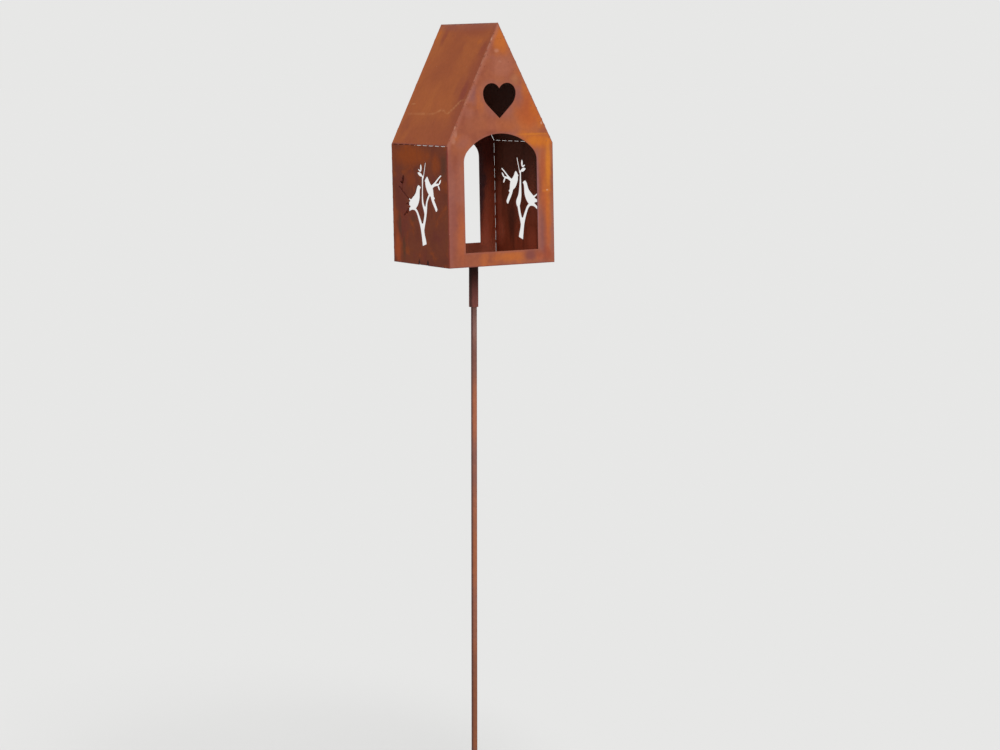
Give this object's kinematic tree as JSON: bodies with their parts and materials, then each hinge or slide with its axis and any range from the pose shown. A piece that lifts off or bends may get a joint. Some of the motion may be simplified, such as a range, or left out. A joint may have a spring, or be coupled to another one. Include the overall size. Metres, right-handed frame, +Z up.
{
  "type": "bird feeder on a ground stake",
  "caption": "Open bird feeder of rusted sheet steel: a small gabled house with arched doors, heart and bird cut-outs, plugged on a round ground stake.",
  "frame": {"origin": "on the stake's axis at ground level, where the bar goes into the soil", "axes": "+Z up the stake, -Y towards the front door, +X to the right seen from the front"},
  "size_m": [0.2043, 0.2055, 1.5018],
  "materials": {
    "rusted_sheet": "matt rust patina",
    "rusted_roof": "matt rust patina with a tide line",
    "rusted_weld": "ground smooth, then rusted",
    "rusted_tube": "dark rust patina",
    "rusted_bar": "rust patina"
  },
  "bodies": {
    "root": {"front_wall": "rusted_sheet", "back_wall": "rusted_sheet", "left_wall": "rusted_sheet", "right_wall": "rusted_sheet", "floor_plate": "rusted_sheet", "left_floor_lug": "rusted_sheet", "right_floor_lug": "rusted_sheet", "left_eave_fold": "rusted_sheet", "right_eave_fold": "rusted_sheet", "back_left_fold": "rusted_sheet", "back_right_fold": "rusted_sheet", "left_roof": "rusted_roof", "right_roof": "rusted_roof", "ridge_weld": "rusted_weld", "front_left_corner_weld": "rusted_weld", "front_right_corner_weld": "rusted_weld", "front_left_gable_weld": "rusted_weld", "front_right_gable_weld": "rusted_weld", "back_left_gable_tacks": "rusted_weld", "back_right_gable_tacks": "rusted_weld", "front_floor_tacks": "rusted_weld", "back_floor_tacks": "rusted_weld", "socket_weld": "rusted_weld", "socket_tube": "rusted_tube", "stake_rod": "rusted_bar"}
  },
  "joints": []
}
